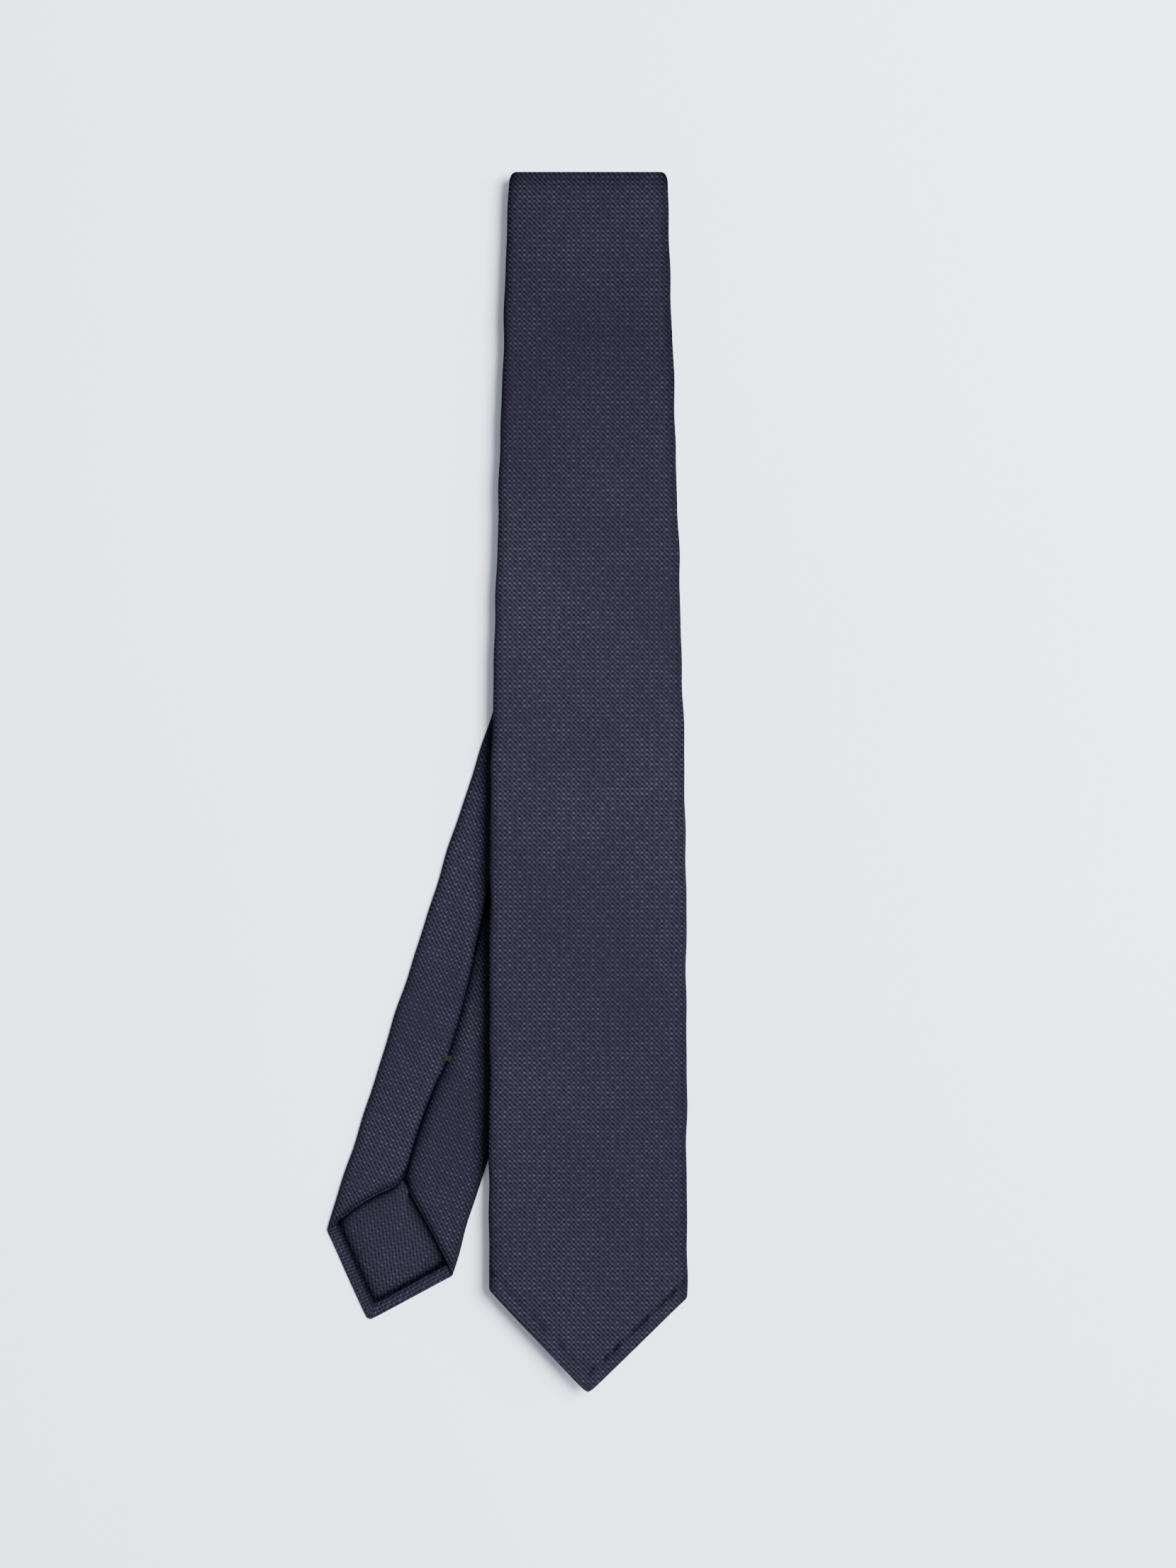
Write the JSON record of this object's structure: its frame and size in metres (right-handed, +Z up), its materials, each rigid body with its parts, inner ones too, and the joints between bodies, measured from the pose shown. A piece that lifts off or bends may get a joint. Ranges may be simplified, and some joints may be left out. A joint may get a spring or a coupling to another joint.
{
  "type": "necktie",
  "caption": "Navy hopsack-weave necktie folded flat in layers, with its narrow tail swung out to one side, back up.",
  "frame": {"origin": "under the middle of the folded tie's outline, on the surface that it lies on", "axes": "+Y from the front blade's tip towards the top fold, +Z up out of the table, +X to the right of the blade seen from above"},
  "size_m": [0.1446, 0.491, 0.0091],
  "materials": {
    "silk_shell": "matte navy hopsack weave with a faint sheen",
    "silk_tipping": "the same weave, cut across, greyer",
    "wool_interlining": "brushed wool, undyed",
    "navy_thread": "twisted silk thread",
    "olive_thread": "dense satin-stitched thread",
    "label_tape": "plain woven satin tape, blank"
  },
  "bodies": {
    "under_layer": {"blade_shell_under": "silk_shell", "neck_shell_under": "silk_shell", "blade_neck_seam_stitches": "navy_thread", "under_interlining": "wool_interlining", "under_slip_stitch": "navy_thread", "blade_shell_top_fold": "silk_shell", "top_fold_interlining": "wool_interlining"},
    "front_blade": {"blade_shell_front": "silk_shell", "blade_interlining": "wool_interlining", "blade_tipping": "silk_tipping", "blade_tipping_stitches": "navy_thread", "blade_bar_tack": "olive_thread", "blade_slip_stitch": "navy_thread", "keeper_loop": "silk_shell", "keeper_loop_stitches": "navy_thread", "care_label": "label_tape"},
    "neck_layer": {"neck_shell_lower": "silk_shell", "tail_shell_upper": "silk_shell", "neck_tail_seam_stitches": "navy_thread", "neck_interlining": "wool_interlining", "neck_slip_stitch": "navy_thread", "neck_shell_bottom_fold": "silk_shell", "bottom_fold_interlining": "wool_interlining", "tail_shell_fold": "silk_shell", "tail_fold_interlining": "wool_interlining"},
    "tail_layer": {"tail_shell": "silk_shell", "tail_interlining": "wool_interlining", "tail_tipping": "silk_tipping", "tail_tipping_stitches": "navy_thread", "tail_bar_tack": "olive_thread", "tail_slip_stitch": "navy_thread"}
  },
  "joints": [
    {"name": "top_fold", "type": "hinge", "parent": "under_layer", "child": "front_blade", "pos_m": [0.03238, 0.2445, 0.00675], "axis": [-1, 0, 0], "range_deg": [0, 180], "deforming": ["blade_shell_top_fold", "top_fold_interlining"]},
    {"name": "bottom_fold", "type": "hinge", "parent": "under_layer", "child": "neck_layer", "pos_m": [0.03238, -0.18927, 0.0043], "axis": [-1, 0, 0], "range_deg": [0, 180], "deforming": ["neck_shell_bottom_fold", "bottom_fold_interlining"]},
    {"name": "tail_fold", "type": "hinge", "parent": "neck_layer", "child": "tail_layer", "pos_m": [0.03255, 0.06619, 0.0021], "axis": [0.9886, -0.1504, 0], "range_deg": [0, 180], "deforming": ["tail_shell_fold", "tail_fold_interlining"]}
  ]
}
